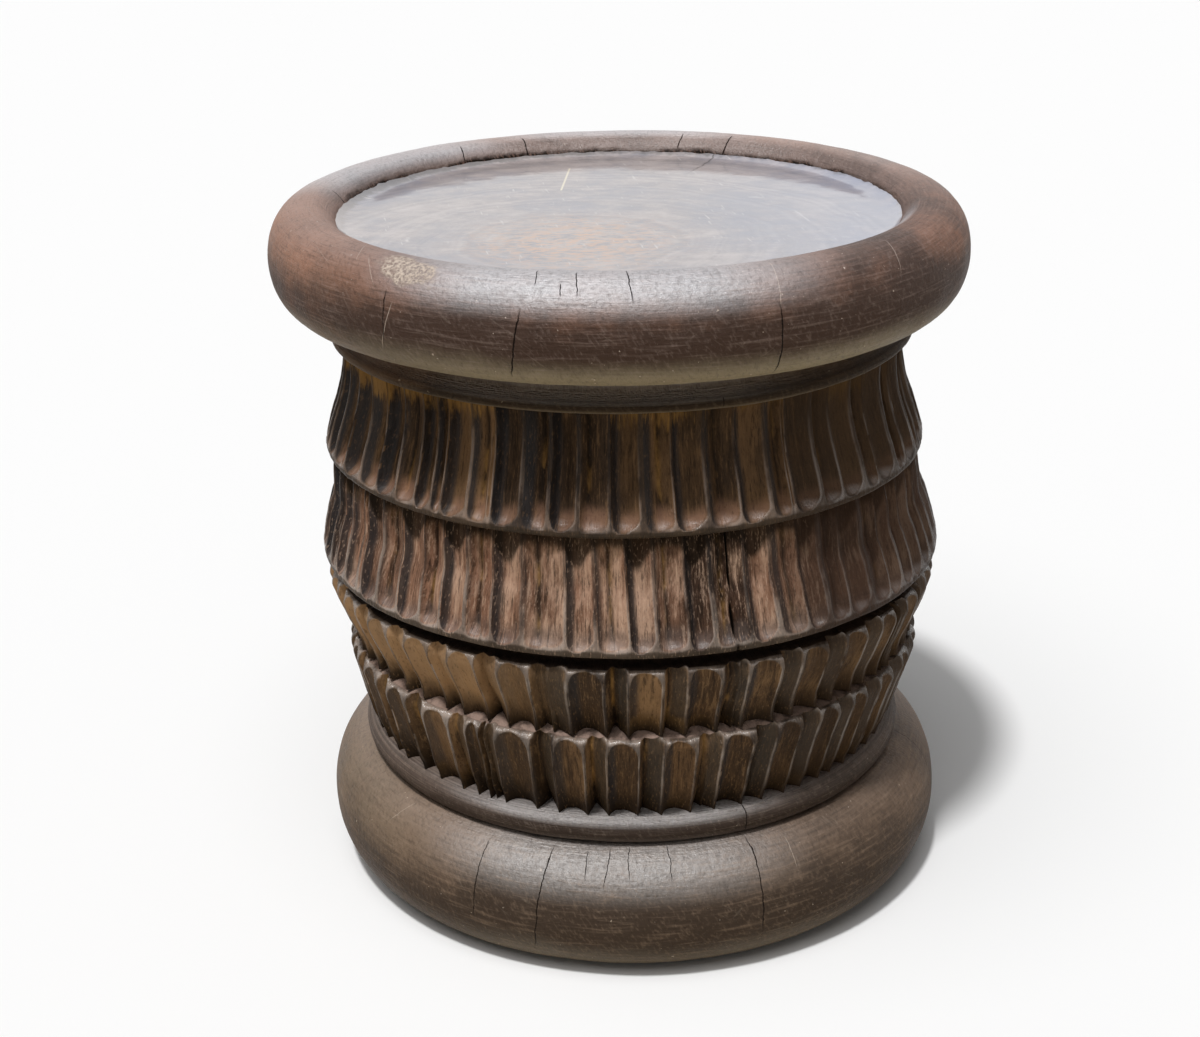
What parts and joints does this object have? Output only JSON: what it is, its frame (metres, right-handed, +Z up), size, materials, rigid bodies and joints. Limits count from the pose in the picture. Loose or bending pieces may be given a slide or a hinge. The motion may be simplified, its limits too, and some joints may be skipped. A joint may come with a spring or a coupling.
{
  "type": "carved drum table",
  "caption": "Low round side table carved in dark hardwood: a dished tray top on a hollow fluted drum with a fat rounded base ring.",
  "frame": {"origin": "middle of the base ring's resting face, on the floor", "axes": "+Z up the drum's axis to the tray; +X to the right and -Y towards the viewer in the picture"},
  "size_m": [0.5, 0.4998, 0.51],
  "materials": {
    "tray_wood": "waxed, satin",
    "drum_wood": "waxed, satin",
    "base_wood": "waxed, satin",
    "dowel_wood": "bare"
  },
  "bodies": {
    "root": {"tray_top": "tray_wood", "drum_body": "drum_wood", "base_ring": "base_wood", "tray_dowels": "dowel_wood", "base_dowels": "dowel_wood"}
  },
  "joints": []
}
